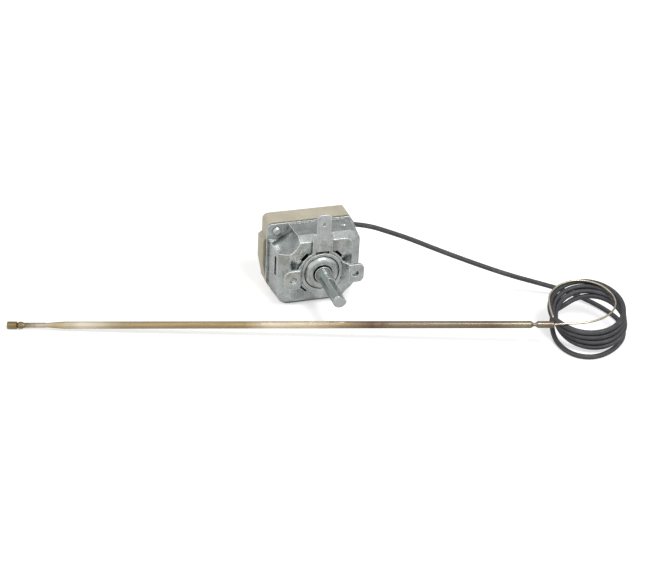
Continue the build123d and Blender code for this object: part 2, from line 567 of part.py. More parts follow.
def make_base():
    outline = slanted(2 * BASE_HALF, CAN_BOTTOM, BASE_TOP, BASE_CORNER, BASE_CUT)
    base = slab(outline, BASE_FRONT, BASE_REAR)
    base = chamfer(base.faces().sort_by(Axis.Y)[-1].edges(), BASE_REAR_EDGE)
    proud, root = -BASE_HALF - BASE_BOSS_PROUD, BASE_WALL / 2 - BASE_HALF
    boss = Polyline((root, BASE_BOSS_TOP), (-BASE_HALF, BASE_BOSS_TOP), (proud, BASE_BOSS_FULL[0]),
                    (proud, BASE_BOSS_FULL[1]), (-BASE_HALF, BASE_BOSS_BOTTOM), (root, BASE_BOSS_BOTTOM), close=True)
    base += slab(make_face(boss), BASE_FRONT + BASE_BOSS_MARGIN, BASE_REAR - BASE_BOSS_MARGIN)
    mouth = rounded(2 * POCKET_HALF, POCKET_BOTTOM, POCKET_TOP, BASE_POCKET_CORNER)
    well = rounded(2 * (POCKET_HALF - BASE_LEDGE), POCKET_BOTTOM + BASE_LEDGE, POCKET_TOP - BASE_LEDGE,
                   BASE_POCKET_CORNER)
    for side in (-1, 1):
        post = Pos(*rivet_place(side)) * Circle(RIVET_POST_RADIUS)
        mouth -= post
        well -= post
    base -= slab(mouth, BASE_FRONT, RAIL_FRONT)
    base -= slab(well, RAIL_FRONT, FLOOR_FRONT)
    for side in (-1, 1):
        base -= rod(RIVET_SHANK_RADIUS, BASE_FRONT, BASE_REAR, *rivet_place(side))
        base -= slab(Pos(side * TERMINAL_X) * Rectangle(TERMINAL_SHEET, TERMINAL_WIDTH), FLOOR_FRONT, BASE_REAR)
    base -= rod(CALIBRATION_RADIUS, FLOOR_FRONT, BASE_REAR, CALIBRATION_X)
    exit_bore = Pos(BASE_HALF, BASE_FRONT + EXIT_DEPTH, EXIT_Z) * Rot(0, 90, 0) * Cylinder(
        SLEEVE_RADIUS + EXIT_CLEARANCE, 2 * (BASE_WALL + BASE_LEDGE + EXIT_CLEARANCE))
    return base - exit_bore


# Capillary, its sleeve, the coil and the bulb

def tube(points, radius, name):
    """A tube along straight runs joined by arcs as large as the runs allow."""
    route = [Vector(*point) for point in points]
    radii = []
    for before, corner, after in zip(route, route[1:], route[2:]):
        turn = radians((corner - before).get_angle(after - corner))
        run = min((corner - before).length, (after - corner).length)
        radii.append(0.45 * run / tan(turn / 2))
    print(name, "radii", [round(value, 1) for value in radii])
    path = FilletPolyline(*route, radius=radii)
    body = sweep(Plane(path @ 0, z_dir=path % 0) * Circle(radius), path=path)
    print(name, "length", round(path.length, 1), "volume", round(body.volume / (pi * radius ** 2 * path.length), 4))
    return body


def coil_plane():
    """The plane of the coil's top turn, leaning towards the user by the coil's tilt."""
    bearing, tilt = radians(COIL_TILT_BEARING), radians(COIL_TILT)
    normal = Vector(-sin(tilt) * sin(bearing), -sin(tilt) * cos(bearing), cos(tilt))
    across = Vector(cos(radians(COIL_BEARING)), -sin(radians(COIL_BEARING)), 0)
    origin = (COIL_CENTRE[0], COIL_CENTRE[1], SURFACE + COIL_TOP_HEIGHT)
    return Plane(origin=origin, x_dir=across, z_dir=normal)


def make_coil():
    """The stacked turns as one ring."""
    height = 2 * SLEEVE_RADIUS * COIL_TURNS
    ring = Circle(COIL_RADIUS + SLEEVE_RADIUS) - Circle(COIL_RADIUS - SLEEVE_RADIUS)
    return extrude(coil_plane().offset(SLEEVE_RADIUS - height) * ring, amount=height)


# The sleeve's route: out of the base, down to the surface, under the coil's far side and once
# round in a loose turn that rises into the stack at the left
SLEEVE_ROUTE = [
    (BASE_HALF, BASE_FRONT + EXIT_DEPTH, EXIT_Z), (26.6, 23.1, 10.2), (35.1, 18.4, 8.4), (44.1, 13.3, 6.2),
    (54.7, 6.6, 3.0), (68.5, -0.1, -1.4), (83.5, -6.6, -6.0), (98.0, -10.3, -10.3), (108.8, -14.0, -13.2),
    (116.8, -21.3, -15.0), (122.1, -31.3, -15.6), (123.6, -42.0, -15.6), (119.0, -53.0, -15.6),
    (109.6, -61.3, -15.6), (98.7, -65.0, -15.6), (89.9, -61.1, -15.6), (86.9, -51.0, -15.5),
    (89.4, -40.6, -14.4), (94.0, -31.9, -12.2)]

# The bare capillary's route on the coil: across, away and above, from the middle of the top turn
BARE_ROUTE = [
    (-16.4, -4.7, 1.0), (-16.6, 3.1, 1.5), (-12.5, 10.9, 1.6), (-7.7, 14.5, 1.6), (-1.5, 15.6, 1.6),
    (6.1, 13.0, 1.6), (11.0, 7.4, 1.6), (12.4, 0.6, 1.6), (9.4, -5.8, 1.6), (2.5, -10.6, 1.6),
    (-4.9, -12.2, 1.6), (-11.8, -12.6, 1.7)]


def make_bare():
    frame = coil_plane()
    points = [tuple(frame.from_local_coords(Vector(*point))) for point in BARE_ROUTE]
    return tube(points + [BULB_END], CAPILLARY_RADIUS, "bare_capillary")


def make_tail():
    exit_depth = BASE_FRONT + EXIT_DEPTH
    start = (CAPSULE_RADIUS + SCREW_HEAD_GAP, (CAPSULE_FRONT + CAPSULE_REAR) / 2, 2.0)
    turn_x = POCKET_HALF - GUIDE_NOTCH_WIDTH / 2
    points = [start, (start[0] + 2.4, start[1] + 0.2, EXIT_Z - 3.2), (turn_x - 1.0, BASE_FRONT - 0.2, EXIT_Z - 0.6),
              (turn_x - 0.4, exit_depth, EXIT_Z), (BASE_HALF, exit_depth, EXIT_Z)]
    return tube(points, CAPILLARY_RADIUS, "capsule_tail")


def lay(body, tip, end):
    """Lay a body drawn along the Y axis from the origin between two points."""
    along = (end - tip).normalized()
    side = Vector(along.Y, -along.X, 0).normalized()
    frame = Plane(origin=tip, x_dir=side, z_dir=side.cross(along))
    return frame.location * body


def make_bulb():
    """The sensing bulb: a crimped and pinched closed end, a long tube, and a necked end sleeve."""
    tip = Vector(BULB_TIP[0], BULB_TIP[1], SURFACE + BULB_RADIUS)
    end = Vector(*BULB_END)
    length = (end - tip).length
    neck = length - BULB_END_SLEEVE - BULB_NECK_LENGTH
    body = turned([
        (0, BULB_PINCH_START), (BULB_PINCH_RADIUS, BULB_PINCH_START), (BULB_PINCH_RADIUS, BULB_PINCH_END),
        (BULB_RADIUS, BULB_TAPER_END), (BULB_RADIUS, neck - BULB_NECK_TAPER), (BULB_NECK_RADIUS, neck),
        (BULB_NECK_RADIUS, neck + BULB_NECK_LENGTH - BULB_NECK_TAPER),
        (BULB_SLEEVE_RADIUS, neck + BULB_NECK_LENGTH), (BULB_SLEEVE_RADIUS, length), (0, length)])
    bead_front, bead_rear = BULB_HEAD_LENGTH + BULB_BEAD_BEVEL, BULB_BEAD_END - BULB_BEAD_BEVEL
    body += turned([(0, BULB_HEAD_LENGTH), (BULB_BEAD_ROOT, BULB_HEAD_LENGTH), (BULB_BEAD_RADIUS, bead_front),
                    (BULB_BEAD_RADIUS, bead_rear), (BULB_BEAD_ROOT, BULB_BEAD_END), (0, BULB_BEAD_END)])
    body += block(-BULB_PINCH_SHEET / 2, BULB_PINCH_SHEET / 2, bead_rear, BULB_PINCH_END, -BULB_PINCH_RADIUS,
                  BULB_PINCH_RADIUS)
    half_head = BULB_HEAD_WIDTH / 2
    head = block(-half_head, half_head, 0, BULB_HEAD_LENGTH, -half_head, half_head)
    body += chamfer(head.edges().filter_by(Axis.Y), BULB_HEAD_CORNER)
    return lay(body, tip, end)


NODES = {
    "switch_base": make_base,
    "housing_can": make_can,
    "corner_rivet_upper": lambda: make_corner_rivet(-1),
    "corner_rivet_lower": lambda: make_corner_rivet(1),
    "top_rivet": make_top_rivet,
    "mounting_bracket": make_bracket,
    "bearing_dome": make_dome,
    "spindle_bush": make_bush,
    "spindle": make_spindle,
    "stop_disc": make_stop_disc,
    "friction_washer": make_washer,
    "adjusting_screw": make_screw,
    "screw_bridge": make_bridge,
    "diaphragm_capsule": make_capsule,
    "capsule_tail": make_tail,
    "pin_guide": make_guide,
    "transfer_pin": make_pin,
    "contact_blade": make_blade,
    "moving_contact": lambda: make_contact(BLADE_FRONT - CONTACT_THICKNESS, BLADE_FRONT),
    "fixed_contact": lambda: make_contact(RAIL_REAR, BLADE_FRONT - CONTACT_THICKNESS - CONTACT_GAP),
    "contact_terminal": lambda: terminal(1, CONTACT_X - CONTACT_PLATE_REACH, RAIL_FRONT),
    "blade_terminal": lambda: terminal(-1, BLADE_PIVOT_X - BLADE_ROLL_RADIUS - FACE_GAP, BLADE_FRONT),
    "calibrating_screw": make_calibrating_screw,
    "capillary_sleeve": lambda: tube(SLEEVE_ROUTE, SLEEVE_RADIUS, "capillary_sleeve"),
    "capillary_coil": make_coil,
    "bare_capillary": make_bare,
    "sensing_bulb": make_bulb,
}

if __name__ == "__main__":
    os.makedirs("parts", exist_ok=True)
    for name, make in NODES.items():
        export_step(make(), f"parts/{name}.step")
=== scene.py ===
"""Oven temperature control with a sleeved capillary and a long sensing bulb, dressed for rendering.

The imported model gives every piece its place. This script makes the sleeved capillary with its coil and
the bare capillary as finely shaped pieces, and gives every visible surface a procedural finish. Metres
throughout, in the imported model's own frame: X to the right, Z up, the spindle points along -Y.
"""
from __future__ import annotations

import json
import logging
import math
from dataclasses import astuple, dataclass
from enum import Enum
from typing import Callable, Sequence

import bmesh
import bpy
from mathutils import Matrix, Vector

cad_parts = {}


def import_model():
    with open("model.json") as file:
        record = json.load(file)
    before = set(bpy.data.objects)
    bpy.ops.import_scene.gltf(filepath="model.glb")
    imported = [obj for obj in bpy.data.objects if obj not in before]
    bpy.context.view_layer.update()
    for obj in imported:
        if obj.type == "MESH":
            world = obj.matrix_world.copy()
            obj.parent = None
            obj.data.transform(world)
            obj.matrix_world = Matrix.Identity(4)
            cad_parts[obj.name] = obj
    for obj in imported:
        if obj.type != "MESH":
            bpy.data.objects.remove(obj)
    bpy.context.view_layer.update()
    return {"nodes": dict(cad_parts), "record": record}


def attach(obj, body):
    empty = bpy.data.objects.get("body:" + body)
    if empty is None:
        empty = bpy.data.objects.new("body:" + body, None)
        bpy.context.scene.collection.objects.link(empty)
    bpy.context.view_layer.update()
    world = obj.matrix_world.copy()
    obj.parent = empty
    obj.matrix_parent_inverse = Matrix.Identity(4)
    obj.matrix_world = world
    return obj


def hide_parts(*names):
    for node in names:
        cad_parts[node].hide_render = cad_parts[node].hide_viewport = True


LOG = logging.getLogger("capillary_control")
MM = 0.001
SURFACE = -16.6 * MM
Colour = tuple[float, float, float]
Point = tuple[float, float, float]
Socket = bpy.types.NodeSocket
WHITE: Colour = (1.0, 1.0, 1.0)


def tone(red: int, green: int, blue: int) -> Colour:
    """Turn a colour written as it looks on screen into scene values.

    Args:
        red: its red part, 0 to 255.
        green: its green part.
        blue: its blue part.

    Returns:
        Its linear parts, 0 to 1.
    """
    knee, slope, offset, power = 0.04045, 12.92, 0.055, 2.4

    def channel(value: int) -> float:
        """Follow the screen's curve back for one part."""
        part = value / 255
        return part / slope if part <= knee else ((part + offset) / (1 + offset)) ** power
    return channel(red), channel(green), channel(blue)


def finish_name(slot: str) -> str:
    """The name of a slot's finish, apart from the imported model's own plain material."""
    return f"{slot}_finish"


class Wiring:
    """A node tree being filled, with short calls for adding and joining nodes."""

    def __init__(self, tree: bpy.types.NodeTree) -> None:
        """Keep the tree.

        Args:
            tree: the node tree of a material, a world or a group.
        """
        self.tree = tree

    def add(self, kind: str, inputs: dict | None = None, **settings: object) -> bpy.types.Node:
        """Add a node, set it up and feed it.

        Args:
            kind: the node's type name.
            inputs: values or sockets for its inputs, by name or number.
            settings: attributes of the node.

        Returns:
            The new node.
        """
        node = self.tree.nodes.new(kind)
        for name, value in settings.items():
            setattr(node, name, value)
        for name, value in (inputs or {}).items():
            self.feed(node.inputs[name], value)
        return node

    def feed(self, socket: Socket, value: object) -> None:
        """Join a socket to another one, or set its value.

        Args:
            socket: the input.
            value: an output to join it to, or a plain value. A colour has three parts.
        """
        if isinstance(value, bpy.types.NodeSocket):
            self.tree.links.new(value, socket)
        elif isinstance(value, tuple) and len(value) == 3 and socket.type == "RGBA":
            socket.default_value = (*value, 1.0)
        else:
            socket.default_value = value

    def maths(self, operation: str, first: object, second: object) -> Socket:
        """Reckon with two values.

        Args:
            operation: the Math node's operation.
            first: a socket or a number.
            second: a socket or a number.

        Returns:
            The result.
        """
        return self.add("ShaderNodeMath", {0: first, 1: second}, operation=operation).outputs[0]

    def spread(self, value: object, low: float, high: float, to_low: float = 0.0,
               to_high: float = 1.0) -> Socket:
        """Spread a range of values over another one, held at its ends.

        Args:
            value: the value's socket.
            low: where the range starts.
            high: where it ends, also below low.
            to_low: what its start turns into.
            to_high: what its end turns into.

        Returns:
            The spread value.
        """
        node = self.add("ShaderNodeMapRange", {"Value": value, "From Min": low, "From Max": high,
                                               "To Min": to_low, "To Max": to_high})
        return node.outputs["Result"]

    def blend(self, share: object, first: object, second: object) -> Socket:
        """Mix two colours.

        Args:
            share: how much of the second one there is, 0 to 1.
            first: a colour.
            second: a colour.

        Returns:
            The mixed colour.
        """
        node = self.add("ShaderNodeMix", data_type="RGBA")
        factor, colour_a, colour_b, result = 0, 6, 7, 2
        self.feed(node.inputs[factor], share)
        self.feed(node.inputs[colour_a], first)
        self.feed(node.inputs[colour_b], second)
        return node.outputs[result]

    def noise(self, where: object, scale: object, detail: float = 3.0, roughness: float = 0.5) -> Socket:
        """Add a noise pattern.

        Args:
            where: the place's socket.
            scale: patches to a metre.
            detail: how many finer sizes lie over it.
            roughness: how much those count.

        Returns:
            Its value, 0 to 1.
        """
        node = self.add("ShaderNodeTexNoise", {"Vector": where, "Scale": scale, "Detail": detail,
                                               "Roughness": roughness})
        return node.outputs["Fac"]

    def ramp(self, value: object, stops: Sequence[tuple[float, Colour]]) -> Socket:
        """Look a value up in a row of colours.

        Args:
            value: the value's socket.
            stops: places from 0 to 1 with their colours.

        Returns:
            The colour.
        """
        node = self.add("ShaderNodeValToRGB", {"Fac": value})
        marks = node.color_ramp.elements
        while len(marks) < len(stops):
            marks.new(0.5)
        for mark, (place, colour) in zip(marks, stops):
            mark.position = place
            mark.color = (*colour, 1.0)
        return node.outputs["Color"]


def effect(name: str, inputs: dict[str, tuple[str, object]], outputs: dict[str, str],
           fill: Callable[[Wiring, dict, bpy.types.Node], None]) -> bpy.types.NodeTree:
    """Build a shader node group once, or give the one already built.

    Args:
        name: the group's name.
        inputs: for each input its kind, Float, Vector or Color, and its first value.
        outputs: for each output its kind.
        fill: adds the nodes between them.

    Returns:
        The group's node tree.
    """
    if name in bpy.data.node_groups:
        return bpy.data.node_groups[name]
    group = bpy.data.node_groups.new(name, "ShaderNodeTree")
    for label, (kind, value) in inputs.items():
        socket = group.interface.new_socket(name=label, in_out="INPUT", socket_type=f"NodeSocket{kind}")
        if value is not None:
            socket.default_value = value
    for label, kind in outputs.items():
        group.interface.new_socket(name=label, in_out="OUTPUT", socket_type=f"NodeSocket{kind}")
    wiring = Wiring(group)
    start = wiring.add("NodeGroupInput")
    end = wiring.add("NodeGroupOutput")
    fill(wiring, {socket.name: socket for socket in start.outputs if socket.name}, end)
    return group


def mottle() -> bpy.types.NodeTree:
    """Soft uneven patches over finer ones, as on plated or handled surfaces."""
    def fill(wiring: Wiring, given: dict, end: bpy.types.Node) -> None:
        """Lay two sizes of noise over each other."""
        finer, large_share, small_share = 4.7, 0.62, 0.38
        large = wiring.noise(given["Vector"], given["Scale"], detail=2.0)
        small = wiring.noise(given["Vector"], wiring.maths("MULTIPLY", given["Scale"], finer), detail=3.0)
        both = wiring.maths("ADD", wiring.maths("MULTIPLY", large, large_share),
                            wiring.maths("MULTIPLY", small, small_share))
        wiring.feed(end.inputs["Value"], wiring.spread(both, low=0.36, high=0.64))
    return effect("soft_mottle", {"Vector": ("Vector", None), "Scale": ("Float", 200.0)},
                  {"Value": "Float"}, fill)


def edge_highlight() -> bpy.types.NodeTree:
    """Where a surface turns sharply, the mask of the painted edge highlights, with the edge's rounded
    normal.
    """
    def fill(wiring: Wiring, given: dict, end: bpy.types.Node) -> None:
        """Compare the rounded normal with the true one."""
        rounded = wiring.add("ShaderNodeBevel", {"Radius": given["Radius"]}, samples=16).outputs[0]
        true = wiring.add("ShaderNodeNewGeometry").outputs["Normal"]
        alike = wiring.add("ShaderNodeVectorMath", {0: rounded, 1: true}, operation="DOT_PRODUCT")
        turned = wiring.spread(alike.outputs["Value"], low=0.999, high=0.93)
        # Uneven breakup of the painted edge highlight.
        painted_light_mark = wiring.noise(given["Vector"], scale=900.0, detail=2.0)
        uneven = wiring.spread(painted_light_mark, low=0.3, high=0.6, to_low=0.9, to_high=1.0)
        wiring.feed(end.inputs["Mask"], wiring.maths("MULTIPLY", turned, uneven))
        wiring.feed(end.inputs["Normal"], rounded)
    return effect("edge_highlight", {"Vector": ("Vector", None), "Radius": ("Float", 0.0003)},
                  {"Mask": "Float", "Normal": "Vector"}, fill)


def crevice() -> bpy.types.NodeTree:
    """Where a surface lies close to another one, the mask of painted shade there."""
    def fill(wiring: Wiring, given: dict, end: bpy.types.Node) -> None:
        """Take the closeness of what surrounds a point, roughened a little."""
        # Ambient occlusion: the darker colour laid where it is closed in is painted shade.
        closed = wiring.add("ShaderNodeAmbientOcclusion", {"Distance": given["Reach"]}, samples=8)
        shut = wiring.spread(closed.outputs["AO"], low=0.9, high=0.45)
        # Uneven breakup of the painted shade.
        painted_light_mark = wiring.noise(given["Vector"], scale=700.0, detail=2.0)
        uneven = wiring.spread(painted_light_mark, low=0.3, high=0.6, to_low=0.7, to_high=1.0)
        wiring.feed(end.inputs["Mask"], wiring.maths("MULTIPLY", shut, uneven))
    return effect("painted_crevice_shade", {"Vector": ("Vector", None), "Reach": ("Float", 0.0015)},
                  {"Mask": "Float"}, fill)


def grain() -> bpy.types.NodeTree:
    """A fine grain and sparse pits, as a height."""
    def fill(wiring: Wiring, given: dict, end: bpy.types.Node) -> None:
        """Add pits to a fine noise."""
        coarser = 0.22
        fine = wiring.noise(given["Vector"], given["Scale"], detail=4.0, roughness=0.6)
        coarse = wiring.maths("MULTIPLY", given["Scale"], coarser)
        cells = wiring.add("ShaderNodeTexVoronoi", {"Vector": given["Vector"], "Scale": coarse})
        pits = wiring.spread(cells.outputs["Distance"], low=0.05, high=0.2, to_low=-0.5, to_high=0.0)
        wiring.feed(end.inputs["Height"], wiring.maths("ADD", fine, pits))
    return effect("fine_grain", {"Vector": ("Vector", None), "Scale": ("Float", 2500.0)},
                  {"Height": "Float"}, fill)


def streaks() -> bpy.types.NodeTree:
    """Noise drawn out along one axis, as turning or drawing marks."""
    def fill(wiring: Wiring, given: dict, end: bpy.types.Node) -> None:
        """Scale the place before the noise."""
        drawn = wiring.add("ShaderNodeVectorMath", {0: given["Vector"], 1: given["Density"]},
                           operation="MULTIPLY")
        lines = wiring.noise(drawn.outputs[0], scale=1.0, detail=3.0, roughness=0.6)
        wiring.feed(end.inputs["Value"], wiring.spread(lines, low=0.35, high=0.65))
    return effect("drawn_streaks", {"Vector": ("Vector", None), "Density": ("Vector", (900.0, 30.0, 900.0))},
                  {"Value": "Float"}, fill)


@dataclass(frozen=True)
class CreviceShade:
    """Painted shade in narrow places: its colour, how far out it reaches and how much of it shows."""

    colour: Colour
    reach: float
    share: float = 0.85


class Surface(Wiring):
    """A material's tree with its shader, and the effects placed on it."""

    def __init__(self, name: str) -> None:
        """Make an empty material.

        Args:
            name: the material slot that it finishes.
        """
        self.material = bpy.data.materials.new(finish_name(name))
        self.material.use_nodes = True
        super().__init__(self.material.node_tree)
        self.tree.nodes.clear()
        self.shader = self.add("ShaderNodeBsdfPrincipled")
        output = self.add("ShaderNodeOutputMaterial")
        self.tree.links.new(self.shader.outputs[0], output.inputs["Surface"])
        self.place = self.add("ShaderNodeTexCoord").outputs["Object"]

    def effect(self, group: bpy.types.NodeTree, **inputs: object) -> bpy.types.Node:
        """Place one of the shared effects.

        Args:
            group: the effect's node tree.
            inputs: values or sockets for its inputs.

        Returns:
            The group's node.
        """
        node = self.add("ShaderNodeGroup", node_tree=group)
        for name, value in inputs.items():
            self.feed(node.inputs[name], value)
        return node

    def mottled(self, scale: float) -> Socket:
        """Patches all over, 0 to 1, with so many of them to a metre."""
        return self.effect(mottle(), Vector=self.place, Scale=scale).outputs["Value"]

    def streaked(self, where: Socket, density: Point) -> Socket:
        """Streaks, 0 to 1.

        Args:
            where: the place's socket.
            density: lines to a metre along each of its axes.

        Returns:
            The streaks' value.
        """
        return self.effect(streaks(), Vector=where, Density=density).outputs["Value"]

    def highlighted_edges(self, radius: float) -> tuple[Socket, Socket]:
        """The mask of the painted edge highlights, and the normal with edges rounded by a radius."""
        node = self.effect(edge_highlight(), Vector=self.place, Radius=radius)
        return node.outputs["Mask"], node.outputs["Normal"]

    def tinted(self, body: Socket, mask: Socket, share: float, colour: object) -> Socket:
        """Lay a colour over another one.

        Args:
            body: the colour below.
            mask: where the new one goes, 0 to 1.
            share: how much of it there is where the mask is 1.
            colour: the new colour.

        Returns:
            The colour of both.
        """
        return self.blend(self.maths("MULTIPLY", mask, share), body, colour)

    def crevice_shaded(self, body: Socket, crevice_shade: CreviceShade) -> Socket:
        """Lay painted shade over a colour in narrow places."""
        mask = self.effect(crevice(), Vector=self.place, Reach=crevice_shade.reach).outputs["Mask"]
        return self.tinted(body, mask, crevice_shade.share, crevice_shade.colour)

    def relief(self, height: Socket, depth: float, normal: Socket | None = None) -> Socket:
        """Turn a height into a normal.

        Args:
            height: the height's socket.
            depth: how deep it is, in metres.
            normal: a normal that it starts from.

        Returns:
            The normal's socket.
        """
        inputs = {"Height": height, "Strength": 1.0, "Distance": depth}
        if normal is not None:
            inputs["Normal"] = normal
        return self.add("ShaderNodeBump", inputs).outputs[0]

    def grained(self, scale: float, depth: float, normal: Socket) -> Socket:
        """A normal with fine grain on it.

        Args:
            scale: grains to a metre.
            depth: how deep they are, in metres.
            normal: the normal without them.

        Returns:
            The normal's socket.
        """
        height = self.effect(grain(), Vector=self.place, Scale=scale).outputs["Height"]
        return self.relief(height, depth, normal)

    def finish(self, **values: object) -> bpy.types.Material:
        """Feed the shader and give the material.

        Args:
            values: the shader's inputs, with _ for a space.

        Returns:
            The finished material.
        """
        for name, value in values.items():
            self.feed(self.shader.inputs[name.replace("_", " ")], value)
        return self.material


@dataclass(frozen=True)
class PlatedSheet:
    """Zinc plated sheet steel: cloudy grey patches, painted edge highlights, painted shade and a faint
    rolled grain.
    """

    name: str
    dark: Colour
    light: Colour
    # Painted highlight on the sharp edges.
    edge: Colour
    # Painted shade in narrow places.
    crevice_shade: CreviceShade = CreviceShade(tone(44, 47, 49), reach=0.0013)
    roughness: float = 0.25
    roughness_either_way: float = 0.08
    edge_roughness: float = 0.30
    patch: float = 240.0
    rolling: Point = (1300.0, 1300.0, 70.0)
    rolling_share: float = 0.5
    edge_radius: float = 0.00040
    edge_share: float = 0.85
    grain_scale: float = 1500.0
    grain_depth: float = 0.000004

    def build(self) -> bpy.types.Material:
        """Make the material."""
        surface = Surface(self.name)
        cloud = surface.mottled(self.patch)
        painted_light_mark, rounded = surface.highlighted_edges(self.edge_radius)
        rolled = surface.streaked(surface.place, self.rolling)
        body = surface.blend(cloud, self.dark, self.light)
        body = surface.tinted(body, rolled, self.rolling_share, self.light)
        # Painted highlight along the sharp edges.
        body = surface.tinted(body, painted_light_mark, self.edge_share, self.edge)
        rough = surface.spread(cloud, 0.0, 1.0, self.roughness - self.roughness_either_way,
                               self.roughness + self.roughness_either_way)
        rough = surface.maths("ADD", rough, surface.maths("MULTIPLY", painted_light_mark, self.edge_roughness))
        # The base colour gets painted shade in narrow places.
        return surface.finish(Base_Color=surface.crevice_shaded(body, self.crevice_shade), Metallic=1.0, Roughness=rough,
                              Normal=surface.grained(self.grain_scale, self.grain_depth, rounded))


@dataclass(frozen=True)
class TurnedSteel:
    """Turned steel: rings from the tool, painted highlights on its edges and painted shade in narrow places.
    """

    name: str
    dark: Colour
    light: Colour
    # Painted highlight on the sharp edges.
    edge: Colour
    # Painted shade in narrow places.
    crevice_shade: CreviceShade = CreviceShade(tone(40, 43, 44), reach=0.0012)
    density: Point = (120.0, 5200.0, 120.0)
    ring_share: float = 0.35
    ring_depth: float = 0.000002
    patch: float = 320.0
    patch_share: float = 0.2
    edge_radius: float = 0.0002
    roughness: tuple[float, float] = (0.11, 0.27)

    def build(self) -> bpy.types.Material:
        """Make the material."""
        surface = Surface(self.name)
        rings = surface.streaked(surface.place, self.density)
        cloud = surface.mottled(self.patch)
        painted_light_mark, rounded = surface.highlighted_edges(self.edge_radius)
        body = surface.blend(surface.maths("MULTIPLY", rings, self.ring_share), self.dark, self.light)
        body = surface.tinted(body, cloud, self.patch_share, self.light)
        # Painted highlight along the sharp edges.
        body = surface.blend(painted_light_mark, body, self.edge)
        # The base colour gets painted shade in narrow places.
        return surface.finish(Base_Color=surface.crevice_shaded(body, self.crevice_shade), Metallic=1.0,
                              Roughness=surface.spread(rings, 0.0, 1.0, *self.roughness),
                              Normal=surface.relief(rings, self.ring_depth, rounded))


@dataclass(frozen=True)
class MouldedCeramic:
    """Cream moulded ceramic: matt, finely grained, a little darker in patches."""

    name: str
    dark: Colour
    light: Colour
    # Painted highlight on the sharp edges.
    edge: Colour
    # Painted shade in narrow places.
    crevice_shade: CreviceShade = CreviceShade(tone(120, 112, 92), reach=0.002, share=0.5)
    patch: float = 90.0
    speck_scale: float = 3200.0
    speck_share: float = 0.3
    edge_radius: float = 0.0006
    edge_share: float = 0.6
    grain_scale: float = 2400.0
    grain_depth: float = 0.00003
    roughness: tuple[float, float] = (0.55, 0.7)
    specular: float = 0.35

    def build(self) -> bpy.types.Material:
        """Make the material."""
        surface = Surface(self.name)
        cloud = surface.mottled(self.patch)
        fine = surface.noise(surface.place, self.speck_scale, detail=2.0)
        specks = surface.spread(fine, low=0.62, high=0.72)
        painted_light_mark, rounded = surface.highlighted_edges(self.edge_radius)
        body = surface.blend(cloud, self.dark, self.light)
        body = surface.tinted(body, specks, self.speck_share, self.dark)
        # Painted highlight along the sharp edges.
        body = surface.tinted(body, painted_light_mark, self.edge_share, self.edge)
        # The base colour gets painted shade in narrow places.
        return surface.finish(Base_Color=surface.crevice_shaded(body, self.crevice_shade), Specular_IOR_Level=self.specular,
                              Roughness=surface.spread(cloud, 0.0, 1.0, *self.roughness),
                              Normal=surface.grained(self.grain_scale, self.grain_depth, rounded))


@dataclass(frozen=True)
class SleeveSkin:
    """Dark silicone sleeve: lengthwise streaks, faint dust and a soft sheen."""

    name: str
    dark: Colour
    light: Colour
    dust: Colour
    # Painted shade in narrow places, such as between the turns.
    crevice_shade: CreviceShade = CreviceShade(tone(20, 20, 22), reach=0.0012)
    density: Point = (14.0, 60.0, 1.0)
    streak_depth: float = 0.00003
    patch: float = 260.0
    dust_share: float = 0.45
    roughness: tuple[float, float] = (0.42, 0.6)
    specular: float = 0.4

    def build(self) -> bpy.types.Material:
        """Make the material."""
        surface = Surface(self.name)
        along = surface.add("ShaderNodeTexCoord").outputs["UV"]
        lines = surface.streaked(along, self.density)
        dusty = surface.spread(surface.mottled(self.patch), low=0.55, high=1.0, to_high=self.dust_share)
        body = surface.blend(lines, self.dark, self.light)
        body = surface.blend(dusty, body, self.dust)
        # The base colour gets painted shade in narrow places.
        return surface.finish(Base_Color=surface.crevice_shaded(body, self.crevice_shade), Specular_IOR_Level=self.specular,
                              Roughness=surface.spread(lines, 0.0, 1.0, *self.roughness),
                              Normal=surface.relief(lines, self.streak_depth))


@dataclass(frozen=True)
class DrawnTube:
    """Drawn stainless tube between two points, with fine lengthwise marks, and colours along it that are
    partly heat tint and partly painted highlight.

    Its colours are given by their place along the tube, 0 to 1, and wander is how far a place strays.
    """

    name: str
    start: Point
    stop: Point
    tints_and_highlights: tuple[tuple[float, Colour], ...]
    wander: float = 0.012
    patch: float = 300.0
    density: Point = (2200.0, 45.0, 2200.0)
    mark: Colour = (0.04, 0.03, 0.02)
    mark_strength: float = 0.35
    mark_share: float = 0.6
    mark_depth: float = 0.000008
    roughness: tuple[float, float] = (0.21, 0.37)

    def build(self) -> bpy.types.Material:
        """Make the material."""
        surface = Surface(self.name)
        axis = Vector(self.stop) - Vector(self.start)
        turn = axis.to_track_quat("Y", "Z").to_euler()
        local = surface.add("ShaderNodeMapping", {"Vector": surface.place, "Location": self.start,
                                                  "Rotation": turn}, vector_type="TEXTURE").outputs[0]
        along = surface.add("ShaderNodeSeparateXYZ", {0: local}).outputs["Y"]
        share = surface.maths("DIVIDE", along, axis.length)
        cloud = surface.mottled(self.patch)
        strayed = surface.maths("MULTIPLY", surface.maths("SUBTRACT", cloud, 0.5), self.wander)
        # Colours along the tube: partly heat tint, partly painted highlight.
        body = surface.ramp(surface.maths("ADD", share, strayed), self.tints_and_highlights)
        lines = surface.streaked(local, self.density)
        marked = surface.blend(self.mark_strength, body, self.mark)
        colour = surface.tinted(body, lines, self.mark_share, marked)
        return surface.finish(Base_Color=colour, Metallic=1.0,
                              Roughness=surface.spread(cloud, 0.0, 1.0, *self.roughness),
                              Normal=surface.relief(lines, self.mark_depth))


